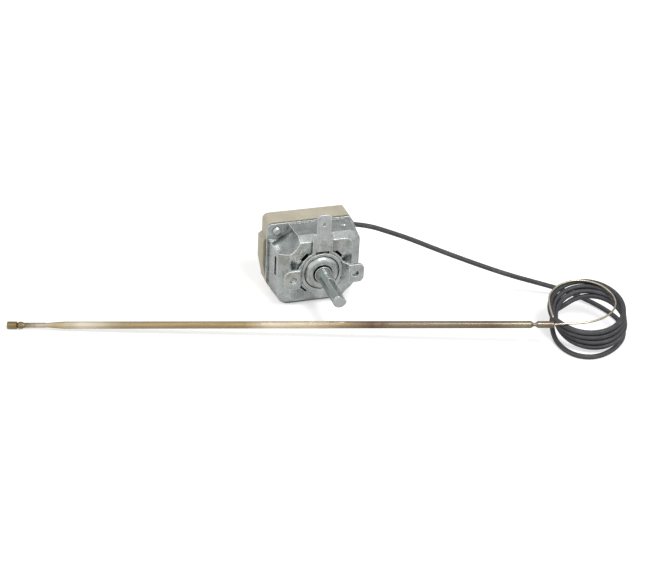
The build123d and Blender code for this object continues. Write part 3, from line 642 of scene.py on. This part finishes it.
@dataclass(frozen=True)
class FineCapillary:
    """Bare stainless capillary, faintly drawn along its length and yellowed in places."""

    name: str
    dark: Colour
    light: Colour
    density: Point = (12.0, 40.0, 1.0)
    mark_depth: float = 0.000008
    patch: float = 180.0
    roughness: tuple[float, float] = (0.22, 0.34)

    def build(self) -> bpy.types.Material:
        """Make the material."""
        surface = Surface(self.name)
        along = surface.add("ShaderNodeTexCoord").outputs["UV"]
        lines = surface.streaked(along, self.density)
        cloud = surface.mottled(self.patch)
        mean = surface.maths("MULTIPLY", surface.maths("ADD", lines, cloud), 0.5)
        return surface.finish(Base_Color=surface.blend(mean, self.dark, self.light), Metallic=1.0,
                              Roughness=surface.spread(cloud, 0.0, 1.0, *self.roughness),
                              Normal=surface.relief(lines, self.mark_depth))


BULB_TIP: Point = (-133.6 * MM, 16.6 * MM, -15.05 * MM)
BULB_END: Point = (84.5 * MM, -51.9 * MM, -5.0 * MM)
# Colours along the bulb: partly its heat tint, partly painted highlight.
BULB_TINTS_AND_HIGHLIGHTS = (
    (0.0, tone(172, 152, 112)), (0.03, tone(150, 130, 92)), (0.055, tone(226, 214, 194)),
    (0.09, tone(204, 184, 146)), (0.14, tone(244, 234, 212)), (0.21, tone(186, 166, 130)),
    (0.43, tone(182, 160, 120)), (0.48, tone(240, 224, 196)), (0.56, tone(222, 204, 174)),
    (0.62, tone(170, 150, 120)), (0.665, tone(118, 96, 82)), (0.71, tone(152, 136, 114)),
    (0.80, tone(146, 136, 116)), (0.89, tone(126, 112, 94)), (0.94, tone(156, 148, 128)),
    (1.0, tone(124, 112, 94)))


class Finish(Enum):
    """The finishes of this object's pieces, by the record's material slots."""

    # The third colour of each sheet, steel and ceramic finish is a painted edge highlight.
    BASE = MouldedCeramic("base_ceramic", tone(196, 188, 166), tone(211, 204, 184), tone(222, 216, 200))
    CAN = PlatedSheet("plated_steel", tone(154, 160, 160), tone(206, 211, 209), tone(252, 253, 253))
    BRACKET = PlatedSheet("bracket_steel", tone(162, 167, 167), tone(210, 214, 212), tone(252, 253, 252),
                          patch=290.0)
    RIVET = PlatedSheet("rivet_steel", tone(150, 152, 152), tone(205, 207, 205), tone(248, 248, 246),
                        roughness=0.24, patch=500.0)
    DOME = PlatedSheet("dome_steel", tone(160, 165, 164), tone(208, 212, 210), tone(250, 251, 250),
                       roughness=0.24, patch=300.0)
    SPINDLE = TurnedSteel("spindle_steel", tone(178, 185, 183), tone(204, 210, 207), tone(250, 251, 250))
    BRASS = PlatedSheet("contact_brass", tone(176, 146, 84), tone(204, 176, 112), tone(232, 208, 150),
                        patch=300.0)
    SILVER = PlatedSheet("contact_silver", tone(190, 190, 188), tone(222, 222, 220), tone(240, 240, 238),
                         patch=500.0)
    SLEEVE = SleeveSkin("sleeve_rubber", tone(54, 55, 58), tone(84, 84, 88), tone(106, 105, 110))
    CAPILLARY = FineCapillary("capillary_metal", tone(172, 158, 134), tone(216, 207, 188))
    BULB = DrawnTube("bulb_metal", BULB_TIP, BULB_END, BULB_TINTS_AND_HIGHLIGHTS)

    def material(self) -> bpy.types.Material:
        """The finish's material, built at its first use."""
        return bpy.data.materials.get(finish_name(self.value.name)) or self.value.build()


SLOT_FINISHES = {finish.value.name: finish for finish in Finish}


def dress(piece: bpy.types.Object, finish: Finish) -> None:
    """Give a piece one finish all over.

    Args:
        piece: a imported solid, or a new piece that has no material yet.
        finish: its finish.
    """
    if piece.material_slots:
        for slot in piece.material_slots:
            slot.material = finish.material()
    else:
        piece.data.materials.append(finish.material())


def smoothed(name: str, route: Sequence[Point], steps: int = 14, order: int = 3) -> list[Vector]:
    """Follow a smooth line through a route's control points.

    Args:
        name: a name for the passing curve.
        route: the control points.
        steps: points of the line to each control point.
        order: the spline's order.

    Returns:
        Points along the smooth line.
    """
    curve = bpy.data.curves.new(name, "CURVE")
    curve.dimensions = "3D"
    curve.resolution_u = steps
    spline = curve.splines.new("NURBS")
    spline.points.add(len(route) - 1)
    for knot, point in zip(spline.points, route):
        knot.co = (*point, 1.0)
    spline.order_u = order
    spline.use_endpoint_u = True
    holder = bpy.data.objects.new(name, curve)
    bpy.context.collection.objects.link(holder)
    bpy.context.view_layer.update()
    line = bpy.data.meshes.new_from_object(holder.evaluated_get(bpy.context.evaluated_depsgraph_get()))
    path = [vertex.co.copy() for vertex in line.vertices]
    bpy.data.meshes.remove(line)
    bpy.data.objects.remove(holder)
    bpy.data.curves.remove(curve)
    return path


def measured(path: Sequence[Vector]) -> float:
    """Length of a line of points."""
    return sum((after - before).length for before, after in zip(path, path[1:]))


def tube_along(name: str, path: Sequence[Vector], radius: float, sides: int) -> bpy.types.Object:
    """Make a closed tube along a line, with its own map: round it, then metres along it.

    Args:
        name: the piece's name.
        path: points along its middle.
        radius: its outer radius.
        sides: faces around it.

    Returns:
        The new piece.
    """
    mesh = bmesh.new()
    sheet = mesh.loops.layers.uv.new("along")
    heading = (path[1] - path[0]).normalized()
    side = heading.orthogonal().normalized()
    rings, travelled = [], []
    distance = 0.0
    for index, point in enumerate(path):
        if index:
            distance += (point - path[index - 1]).length
        ahead = path[min(index + 1, len(path) - 1)] - path[max(index - 1, 0)]
        turn = heading.rotation_difference(ahead.normalized())
        side = turn @ side
        heading = ahead.normalized()
        other = heading.cross(side)
        rings.append([mesh.verts.new(point + radius * (math.cos(angle) * side + math.sin(angle) * other))
                      for angle in (2 * math.pi * step / sides for step in range(sides))])
        travelled.append(distance)
    for row, (near, far) in enumerate(zip(rings, rings[1:])):
        for step in range(sides):
            after = (step + 1) % sides
            face = mesh.faces.new((near[step], near[after], far[after], far[step]))
            face.smooth = True
            corners_around = ((step, row), (step + 1, row), (step + 1, row + 1), (step, row + 1))
            for loop, (around, number) in zip(face.loops, corners_around):
                loop[sheet].uv = (around / sides, travelled[number])
    mesh.faces.new(list(reversed(rings[0])))
    mesh.faces.new(rings[-1])
    data = bpy.data.meshes.new(name)
    mesh.to_mesh(data)
    mesh.free()
    piece = bpy.data.objects.new(name, data)
    bpy.context.collection.objects.link(piece)
    return piece


@dataclass(frozen=True)
class CoilFrame:
    """The leaning plane of the coil's top turn: its middle, and its angles in degrees.

    The bearing turns its across axis from X towards -Y. The plane slopes down by tilt towards the viewer,
    along tilt_bearing, from -Y towards -X.
    """

    centre: Point = (104.3 * MM, -43.7 * MM, -3.8 * MM)
    bearing: float = 17.7
    tilt: float = 11.5
    tilt_bearing: float = 30.6

    def at(self, across: float, away: float, above: float) -> Vector:
        """A point of the coil.

        Args:
            across: millimetres across from its middle, to the right.
            away: millimetres away from the viewer.
            above: millimetres above its plane.

        Returns:
            The point in metres.
        """
        angles = (self.bearing, self.tilt, self.tilt_bearing)
        bearing, tilt, leaning = (math.radians(angle) for angle in angles)
        normal = Vector((-math.sin(tilt) * math.sin(leaning), -math.sin(tilt) * math.cos(leaning),
                         math.cos(tilt)))
        level = Vector((math.cos(bearing), -math.sin(bearing), 0.0))
        along = (level - level.dot(normal) * normal).normalized()
        depth = normal.cross(along)
        return Vector(self.centre) + (across * along + away * depth + above * normal) * MM


@dataclass(frozen=True)
class Turn:
    """One turn of the coil: its middle, its radius in millimetres and its lean in degrees."""

    across: float
    away: float
    above: float
    radius: float
    lean: float

    def towards(self, other: Turn, share: float) -> Turn:
        """The turn that lies a share of the way to another one."""
        return Turn(*(low + (high - low) * share for low, high in zip(astuple(self), astuple(other))))


@dataclass(frozen=True)
class Sway:
    """A small swing that keeps wound turns from being perfect: its size in millimetres, rate and start."""

    size: float
    rate: float
    start: float

    def at(self, angle: float) -> float:
        """The swing at an angle in radians."""
        return self.size * math.sin(self.rate * angle + self.start)


@dataclass
class SleevedCapillary:
    """The sleeved capillary: out of the base, down to the surface, round in a loose turn, then coiled.

    The coil's turns slide off each other towards the front, so each lower one is smaller and leans more.
    The lowest and the topmost turn are given as they are at the front of the coil. The coil's angles are
    in degrees, from its right towards the back. Over its first part, settling, the capillary comes in
    lower and wider than its turn. The end is known once it is built.
    """

    frame: CoilFrame
    radius: float = 1.08 * MM
    sides: int = 14
    lowest: Turn = Turn(1.2, -3.75, -4.30, 14.5, 9.8)
    topmost: Turn = Turn(-0.9, 0.20, 0.45, 16.1, 2.8)
    front_turns: int = 4
    front_angle: float = -90.0
    start_angle: float = 135.0
    end_angle: float = -150.0
    settling: float = 110.0
    settling_drop: float = 2.4
    settling_spread: float = 1.2
    radius_sways: tuple[Sway, ...] = (Sway(0.07, 2.1, 0.7), Sway(0.05, 3.3, 2.0))
    height_sway: Sway = Sway(0.08, 1.37, 1.0)
    points_a_turn: int = 14
    length: float = 0.57
    end: Vector | None = None
    route: tuple[Point, ...] = (
        (19.7, 24.7, 10.7), (26.6, 23.1, 10.2), (35.1, 18.4, 8.4), (44.1, 13.3, 6.2), (54.7, 6.6, 3.0),
        (68.5, -0.1, -1.4), (83.5, -6.6, -6.0), (98.0, -10.3, -10.3), (108.8, -14.0, -13.2),
        (116.8, -21.3, -15.0), (122.1, -31.3, -15.6), (123.6, -42.0, -15.6), (119.0, -53.0, -15.6),
        (109.6, -61.3, -15.6), (98.7, -65.0, -15.6), (90.6, -60.9, -15.6), (87.9, -51.0, -15.5),
        (90.2, -40.6, -14.4), (94.4, -32.2, -12.0))

    def turns(self) -> list[Vector]:
        """Control points of the coil's turns, from the lowest to the topmost.

        Returns:
            The points in metres. They lie outside the turns by the little that the spline cuts off.
        """
        round_trip = 360.0
        sweep = self.start_angle - self.end_angle + round_trip * (self.front_turns - 1)
        count = round(sweep / round_trip * self.points_a_turn)
        reach = 4 / (3 + math.cos(2 * math.pi / self.points_a_turn))
        points = []
        for index in range(count + 1):
            turned = sweep * index / count
            share = (turned - (self.start_angle - self.front_angle)) / round_trip / (self.front_turns - 1)
            turn = self.lowest.towards(self.topmost, share)
            angle, lean = math.radians(self.start_angle - turned), math.radians(turn.lean)
            unsettled = max(0.0, 1.0 - turned / self.settling)
            loose = sum(sway.at(angle) for sway in self.radius_sways)
            radius = (turn.radius + loose + self.settling_spread * unsettled) * reach
            height = turn.above - self.settling_drop * unsettled ** 2 + self.height_sway.at(angle)
            points.append(self.frame.at(turn.across + radius * math.cos(angle),
                                        turn.away + radius * math.sin(angle) * math.cos(lean),
                                        height + radius * math.sin(angle) * math.sin(lean)))
        return points

    def build(self) -> bpy.types.Object:
        """Returns:
            The new piece.
        """
        points = [tuple(value * MM for value in point) for point in self.route]
        points += [tuple(point) for point in self.turns()]
        path = smoothed("sleeve_route", points)
        piece = tube_along("sleeved_capillary", path, self.radius, self.sides)
        dress(piece, Finish.SLEEVE)
        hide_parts("capillary_sleeve", "capillary_coil")
        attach(piece, "root")
        LOG.info("sleeve measures %.4f m", measured(path))
        self.end = path[-1]
        return piece


@dataclass(frozen=True)
class BareCapillary:
    """The bare capillary: once round on top of the coil and into the bulb.

    Its route is in the coil's frame, in millimetres.
    """

    frame: CoilFrame
    radius: float = 0.42 * MM
    sides: int = 12
    length: float = 0.085
    bulb_end: Point = BULB_END
    route: tuple[Point, ...] = (
        (-17.4, 2.2, 1.6), (-13.4, 9.9, 2.1), (-7.7, 13.5, 2.3), (-1.5, 14.9, 2.3), (6.1, 12.8, 2.0),
        (11.0, 7.4, 1.8), (12.4, 0.6, 1.6), (9.4, -5.8, 1.5), (2.5, -10.6, 1.5), (-4.9, -12.2, 1.5),
        (-11.8, -12.6, 1.7))

    def build(self, start: Vector, bulb: bpy.types.Object) -> bpy.types.Object:
        """Make the capillary between the sleeve's end and the bulb.

        Args:
            start: where the sleeve ends.
            bulb: the bulb at its far end; not used.

        Returns:
            The new piece.
        """
        points = [tuple(start)] + [tuple(self.frame.at(*point)) for point in self.route] + [self.bulb_end]
        path = smoothed("bare_route", points)
        piece = tube_along("bare_capillary_line", path, self.radius, self.sides)
        dress(piece, Finish.CAPILLARY)
        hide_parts("bare_capillary")
        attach(piece, "root")
        LOG.info("bare capillary measures %.4f m", measured(path))
        return piece


@dataclass(frozen=True)
class Viewpoint:
    """The photograph's camera: where it looks from, and where the origin lies in its picture.

    Its angles are in degrees, and the origin's place and the picture's size are in pixels.
    """

    azimuth: float = -19.2
    elevation: float = 30.0
    roll: float = 3.0
    distance: float = 0.626
    field: float = 25.0
    origin: tuple[float, float] = (324.7, 277.0)
    picture: tuple[int, int] = (645, 563)
    sensor: float = 36.0
    nearest: float = 0.01
    farthest: float = 50.0

    def build(self) -> None:
        """Make the camera."""
        turn, rise, roll = (math.radians(value) for value in (self.azimuth, self.elevation, self.roll))
        back = Vector((math.sin(turn) * math.cos(rise), -math.cos(turn) * math.cos(rise), math.sin(rise)))
        level = Vector((math.cos(turn), math.sin(turn), 0.0))
        upright = back.cross(level)
        right = math.cos(roll) * level + math.sin(roll) * upright
        upward = back.cross(right)
        width, height = self.picture
        widening = math.tan(math.radians(self.field) / 2)
        focal = width / 2 / widening
        aside, below = (self.origin[0] - width / 2) / focal, (height / 2 - self.origin[1]) / focal
        place = self.distance * (back - aside * right - below * upward)
        data = bpy.data.cameras.new("camera")
        data.sensor_width = self.sensor
        data.lens = self.sensor / 2 / widening
        data.clip_start, data.clip_end = self.nearest, self.farthest
        camera = bpy.data.objects.new("camera", data)
        axes = Matrix((right, upward, back)).transposed().to_4x4()
        camera.matrix_world = Matrix.Translation(place) @ axes
        bpy.context.collection.objects.link(camera)
        bpy.context.scene.camera = camera


@dataclass(frozen=True)
class Lamp:
    """A square lamp: where it hangs, its side in metres, its power in watts and what it points at."""

    name: str
    place: Point
    size: float
    power: float
    target: Point = (0.02, -0.01, 0.0)

    def build(self) -> None:
        """Make the lamp."""
        data = bpy.data.lights.new(self.name, "AREA")
        data.size, data.energy = self.size, self.power
        lamp = bpy.data.objects.new(self.name, data)
        lamp.location = self.place
        aim = Vector(self.target) - Vector(self.place)
        lamp.rotation_euler = aim.to_track_quat("-Z", "Y").to_euler()
        bpy.context.collection.objects.link(lamp)


@dataclass(frozen=True)
class Studio:
    """Pale floor, white surroundings and soft lamps."""

    floor_size: float = 6.0
    floor_gap: float = 0.00005
    paper: Colour = (0.86, 0.86, 0.86)
    ambient: float = 0.45
    shades: tuple[tuple[float, Colour], ...] = ((0.0, (0.50,) * 3), (0.5, (0.7,) * 3), (1.0, WHITE))
    lamps: tuple[Lamp, ...] = (Lamp("key", (0.16, -0.40, 0.62), 0.24, 2.5),
                               Lamp("side", (-0.62, 0.12, 0.40), 0.40, 0.9))

    def build(self) -> None:
        """Make the floor, the surroundings and the lamps."""
        self.floor()
        self.surroundings()
        for lamp in self.lamps:
            lamp.build()

    def floor(self) -> None:
        """White paper that glows a little to the eye, more so further out."""
        bpy.ops.mesh.primitive_plane_add(size=self.floor_size, location=(0, 0, SURFACE - self.floor_gap))
        floor = bpy.context.active_object
        floor.name = "floor"
        surface = Surface("floor_paper")
        away = surface.add("ShaderNodeVectorMath", {0: surface.place}, operation="LENGTH")
        glow = surface.spread(away.outputs["Value"], low=0.3, high=0.9, to_low=0.5, to_high=0.85)
        seen = surface.add("ShaderNodeLightPath").outputs["Is Camera Ray"]
        floor.data.materials.append(surface.finish(
            Base_Color=self.paper, Roughness=0.9, Specular_IOR_Level=0.1, Emission_Color=WHITE,
            Emission_Strength=surface.maths("MULTIPLY", seen, glow)))

    def surroundings(self) -> None:
        """White seen directly, a soft level of light from all round, and a darker room behind for metal."""
        world = bpy.data.worlds.new("surroundings")
        world.use_nodes = True
        bpy.context.scene.world = world
        wiring = Wiring(world.node_tree)
        wiring.tree.nodes.clear()
        paths = wiring.add("ShaderNodeLightPath")
        direction = wiring.add("ShaderNodeTexCoord").outputs["Generated"]
        towards = wiring.add("ShaderNodeSeparateXYZ", {0: direction})
        before = wiring.spread(towards.outputs["Y"], low=0.30, high=-0.45)
        overhead = wiring.spread(towards.outputs["Z"], low=0.66, high=0.9)
        shade = wiring.ramp(wiring.maths("MAXIMUM", before, overhead), self.shades)
        soft, seen, mirrored = (
            wiring.add("ShaderNodeBackground", {"Color": colour, "Strength": strength}).outputs[0]
            for colour, strength in ((WHITE, self.ambient), (WHITE, 1.0), (shade, 1.0)))
        unseen = wiring.add("ShaderNodeMixShader", {0: paths.outputs["Is Glossy Ray"], 1: soft, 2: mirrored})
        light = wiring.add("ShaderNodeMixShader", {0: paths.outputs["Is Camera Ray"], 1: unseen.outputs[0],
                                                   2: seen})
        wiring.add("ShaderNodeOutputWorld", {"Surface": light.outputs[0]})


def dress_solids(frame: dict) -> None:
    """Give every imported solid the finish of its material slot.

    Args:
        frame: the loaded frame.
    """
    for part in frame["record"]["subparts"]:
        dress(frame["nodes"][part["node"]], SLOT_FINISHES[part["material_slot"]])


def main() -> None:
    """Build the scene in order."""
    logging.basicConfig(level=logging.INFO, format="%(name)s: %(message)s")
    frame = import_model()
    bpy.ops.object.select_all(action="DESELECT")
    bpy.context.scene.view_settings.view_transform = "Standard"
    Viewpoint().build()
    dress_solids(frame)
    coil = CoilFrame()
    sleeve = SleevedCapillary(coil)
    LOG.info("made %s", sleeve.build().name)
    LOG.info("made %s", BareCapillary(coil).build(sleeve.end, frame["nodes"]["sensing_bulb"]).name)
    Studio().build()


if __name__ == "__main__":
    main()
